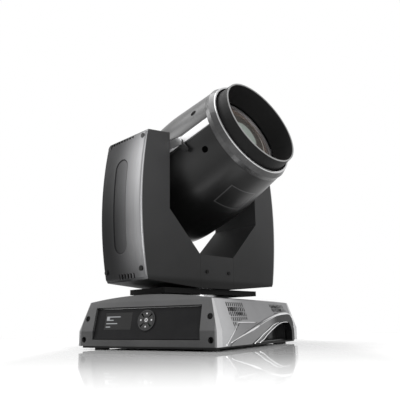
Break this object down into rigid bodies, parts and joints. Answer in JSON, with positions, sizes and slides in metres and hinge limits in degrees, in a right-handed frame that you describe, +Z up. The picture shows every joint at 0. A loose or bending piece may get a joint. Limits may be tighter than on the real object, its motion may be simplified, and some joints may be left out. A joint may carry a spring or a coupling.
{
  "type": "moving head light",
  "caption": "Stage light with a tilting barrel head in a two-armed yoke that pans on a low base with a sloping control panel and a handle in each side.",
  "frame": {"origin": "on the pan axis, at the underside of the base plate where a bracket bolts on", "axes": "+Z up along the pan axis, -Y towards the display side of the base, +X to the right of the display"},
  "size_m": [0.3432, 0.369, 0.4571],
  "materials": {
    "grey_cover": "satin charcoal grey moulded cover, slightly metallic",
    "dark_cover": "fine-grained dark grey cover",
    "black_plastic": "fine-textured black moulding",
    "gloss_black": "glossy black pan",
    "rail_metal": "pale satin rail",
    "sheet_steel": "zinc-plated folded sheet",
    "machined": "turned aluminium",
    "bearing_steel": "ground steel",
    "screw_black": "black-oxide cap screws",
    "motor": "stepper motor casing",
    "supply": "perforated sheet casing",
    "board": "green glass-fibre board",
    "rubber_black": "black rubber",
    "lens_glass": "coated optical glass",
    "window": "smoked display window",
    "quartz": "clear lamp envelope",
    "mirror": "cold mirror bowl",
    "wheel": "thin disc with filters"
  },
  "bodies": {
    "base": {"base_plate": "sheet_steel", "rubber_feet": "rubber_black", "front_trim": "grey_cover", "rear_trim": "grey_cover", "base_cover": "grey_cover", "handle_left": "black_plastic", "handle_right": "black_plastic", "handle_recesses": "gloss_black", "control_panel": "black_plastic", "display_window": "window", "control_board": "board", "connector_panel": "black_plastic", "rear_sockets": "black_plastic", "power_supply": "supply", "base_screws": "screw_black", "bearing_bridge": "sheet_steel", "pan_bearing": "bearing_steel", "pan_motor": "motor", "pan_belt": "rubber_black"},
    "up_key": {"up_key": "black_plastic"},
    "down_key": {"down_key": "black_plastic"},
    "left_key": {"left_key": "black_plastic"},
    "right_key": {"right_key": "black_plastic"},
    "enter_key": {"enter_key": "black_plastic"},
    "fuse_cap": {"fuse_cap": "black_plastic"},
    "power_switch": {"power_switch": "black_plastic"},
    "pan_pinion": {"pan_pinion": "machined"},
    "yoke": {"pan_neck": "machined", "arm_shell_left": "dark_cover", "arm_shell_right": "dark_cover", "arm_cover_left": "grey_cover", "arm_cover_right": "grey_cover", "centre_covers": "dark_cover", "yoke_skirt": "black_plastic", "yoke_frame": "sheet_steel", "yoke_screws": "screw_black", "tilt_bearings": "bearing_steel", "tilt_motor": "motor", "tilt_belt": "rubber_black", "driver_board": "board", "tilt_lock_bracket": "rail_metal"},
    "tilt_pinion": {"tilt_pinion": "machined"},
    "tilt_lock_lever": {"tilt_lock_lever": "black_plastic"},
    "head": {"head_shell_upper": "grey_cover", "head_shell_lower": "grey_cover", "side_rails": "rail_metal", "head_screws": "screw_black", "front_ring": "grey_cover", "lens_hood": "black_plastic", "front_lens": "lens_glass", "head_chassis": "sheet_steel", "tilt_shafts": "machined", "effects_plate": "sheet_steel", "reflector": "mirror", "lamp": "quartz", "rear_cap": "black_plastic"},
    "colour_wheel": {"colour_wheel": "wheel"},
    "gobo_wheel": {"gobo_wheel": "wheel"},
    "focus_carriage": {"focus_carriage": "machined"},
    "fan_rotor": {"fan_rotor": "black_plastic"}
  },
  "joints": [
    {"name": "pan", "type": "hinge", "parent": "base", "child": "yoke", "pos_m": [0, 0, 0.09], "axis": [0, 0, 1], "range_deg": [-270, 270]},
    {"name": "tilt", "type": "hinge", "parent": "yoke", "child": "head", "pos_m": [0, 0, 0.3136], "axis": [0.2588, 0.9659, 0], "range_deg": [-195, 55]},
    {"name": "up_press", "type": "slide", "parent": "base", "child": "up_key", "axis": [0, 0.9749, -0.2225], "range_m": [0, 0.0008], "stiffness_N_per_m": 1500, "springref_m": -0.0004},
    {"name": "down_press", "type": "slide", "parent": "base", "child": "down_key", "axis": [0, 0.9749, -0.2225], "range_m": [0, 0.0008], "stiffness_N_per_m": 1500, "springref_m": -0.0004},
    {"name": "left_press", "type": "slide", "parent": "base", "child": "left_key", "axis": [0, 0.9749, -0.2225], "range_m": [0, 0.0008], "stiffness_N_per_m": 1500, "springref_m": -0.0004},
    {"name": "right_press", "type": "slide", "parent": "base", "child": "right_key", "axis": [0, 0.9749, -0.2225], "range_m": [0, 0.0008], "stiffness_N_per_m": 1500, "springref_m": -0.0004},
    {"name": "enter_press", "type": "slide", "parent": "base", "child": "enter_key", "axis": [0, 0.9749, -0.2225], "range_m": [0, 0.0008], "stiffness_N_per_m": 1500, "springref_m": -0.0004},
    {"name": "power_rock", "type": "hinge", "parent": "base", "child": "power_switch", "pos_m": [0.066, 0.149, 0.037], "axis": [1, 0, 0], "range_deg": [-8, 8]},
    {"name": "fuse_twist", "type": "hinge", "parent": "base", "child": "fuse_cap", "pos_m": [0.044, 0.153, 0.037], "axis": [0, 1, 0], "range_deg": [0, 90]},
    {"name": "pan_pinion_spin", "type": "hinge", "parent": "base", "child": "pan_pinion", "pos_m": [-0.07, 0.062, 0.03], "axis": [0, 0, 1], "range_deg": [-1325, 1325]},
    {"name": "tilt_pinion_spin", "type": "hinge", "parent": "yoke", "child": "tilt_pinion", "pos_m": [-0.03365, -0.12557, 0.196], "axis": [0.2588, 0.9659, 0], "range_deg": [-655, 190]},
    {"name": "lock_swing", "type": "hinge", "parent": "yoke", "child": "tilt_lock_lever", "pos_m": [0.04494, -0.12592, 0.3356], "axis": [0.2588, 0.9659, 0], "range_deg": [-50, 0]},
    {"name": "colour_spin", "type": "hinge", "parent": "head", "child": "colour_wheel", "pos_m": [-0.00323, 0.00087, 0.35495], "axis": [0.9077, -0.2432, 0.342], "continuous": true},
    {"name": "gobo_spin", "type": "hinge", "parent": "head", "child": "gobo_wheel", "pos_m": [0.03228, -0.00865, 0.28319], "axis": [0.9077, -0.2432, 0.342], "continuous": true},
    {"name": "focus_slide", "type": "slide", "parent": "head", "child": "focus_carriage", "axis": [0.9077, -0.2432, 0.342], "range_m": [-0.018, 0.022]},
    {"name": "fan_spin", "type": "hinge", "parent": "head", "child": "fan_rotor", "pos_m": [-0.10892, 0.02919, 0.27256], "axis": [0.9077, -0.2432, 0.342], "continuous": true}
  ],
  "couplings": [
    {"joint": "pan_pinion_spin", "follows": "pan", "ratio": 4.8889},
    {"joint": "tilt_pinion_spin", "follows": "tilt", "ratio": 3.3333}
  ]
}
